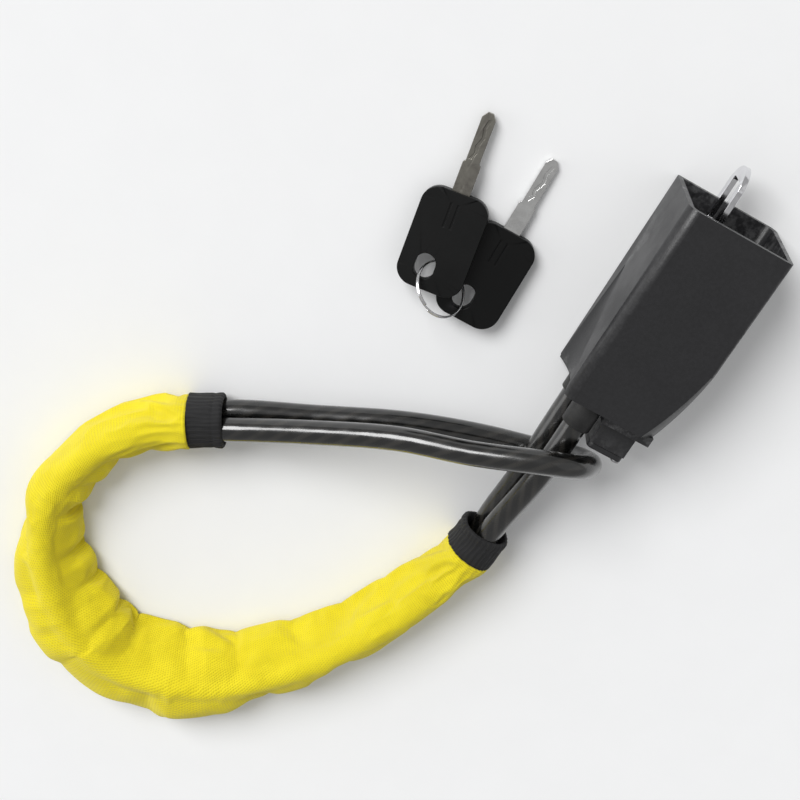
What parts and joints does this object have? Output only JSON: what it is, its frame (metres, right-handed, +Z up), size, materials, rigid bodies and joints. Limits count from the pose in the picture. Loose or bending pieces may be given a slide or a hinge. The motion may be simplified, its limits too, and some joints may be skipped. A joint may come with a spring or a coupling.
{
  "type": "cable steering wheel lock",
  "caption": "Key-operated steering wheel lock: a sleeved cable noose anchored in a hood-shaped housing that carries a seat belt tongue, with a key set.",
  "frame": {"origin": "centre of the housing's back face, on the surface that the housing rests on", "axes": "+Z up, out of the housing's front; +Y out of the housing's mouth, along the tongue; +X to the housing's right"},
  "size_m": [0.2315, 0.3772, 0.052],
  "materials": {
    "housing": "fine textured charcoal nylon",
    "gland": "satin black rubber",
    "cover": "fine textured black nylon",
    "slider": "smooth black acetal",
    "cable_jacket": "glossy smoky black vinyl",
    "wire_rope": "stranded steel wire",
    "crimp_aluminium": "pressed aluminium",
    "plated_steel": "zinc plated steel",
    "tongue_chrome": "bright chrome plate",
    "screw_steel": "plated steel",
    "spring_steel": "drawn spring wire",
    "lock_brass": "turned brass",
    "sleeve_fabric": "bright yellow woven nylon",
    "cuff_elastic": "black ribbed elastic",
    "ring_steel": "nickel plated spring steel",
    "key_dark_steel": "aged nickel",
    "key_steel": "nickel plate",
    "key_grip": "smooth black moulding"
  },
  "bodies": {
    "housing": {"back_shell": "housing", "front_shell": "housing", "end_cap": "housing", "shell_screws": "screw_steel", "end_cap_screws": "screw_steel", "lower_gland": "gland", "upper_gland": "gland", "cable": "cable_jacket", "lower_rope_end": "wire_rope", "upper_rope_end": "wire_rope", "lower_crimp": "crimp_aluminium", "upper_crimp": "crimp_aluminium", "anchor_bracket": "plated_steel", "tongue": "tongue_chrome", "tongue_rivets": "screw_steel", "lock_barrel": "lock_brass", "barrel_grub_screw": "screw_steel", "return_spring": "spring_steel", "dust_cover_pin": "screw_steel", "sleeve": "sleeve_fabric", "lower_cuff": "cuff_elastic", "upper_cuff": "cuff_elastic"},
    "plug": {"lock_plug": "lock_brass", "cam": "plated_steel", "cam_screw": "screw_steel"},
    "slider": {"release_slider": "slider"},
    "cover": {"dust_cover": "cover"},
    "ring": {"key_ring": "ring_steel"},
    "key_1": {"key_1_blade": "key_dark_steel", "key_1_grip": "key_grip"},
    "key_2": {"key_2_blade": "key_steel", "key_2_grip": "key_grip"}
  },
  "joints": [
    {"name": "plug_turn", "type": "hinge", "parent": "housing", "child": "plug", "pos_m": [0.007, -0.045, 0.0265], "axis": [0, 1, 0], "range_deg": [0, 90]},
    {"name": "slider_travel", "type": "slide", "parent": "housing", "child": "slider", "axis": [0, 1, 0], "range_m": [0, 0.006], "deforming": ["return_spring"]},
    {"name": "dust_cover_swing", "type": "hinge", "parent": "housing", "child": "cover", "pos_m": [0.0133, -0.0655, 0.0328], "axis": [0, -1, 0], "range_deg": [0, 100]},
    {"name": "key_set_lift", "type": "slide", "parent": "housing", "child": "ring", "axis": [0, 0, 1], "range_m": [0, 0.12]},
    {"name": "key_1_swing", "type": "hinge", "parent": "ring", "child": "key_1", "pos_m": [-0.099, -0.038, 0.0094], "axis": [0, 0, 1], "range_deg": [0, 20]},
    {"name": "key_2_swing", "type": "hinge", "parent": "ring", "child": "key_2", "pos_m": [-0.077, -0.043, 0.0056], "axis": [0, 0, 1], "range_deg": [-20, 0]}
  ],
  "couplings": [
    {"joint": "slider_travel", "follows": "plug_turn", "m_per_rad": 0.0038197}
  ]
}
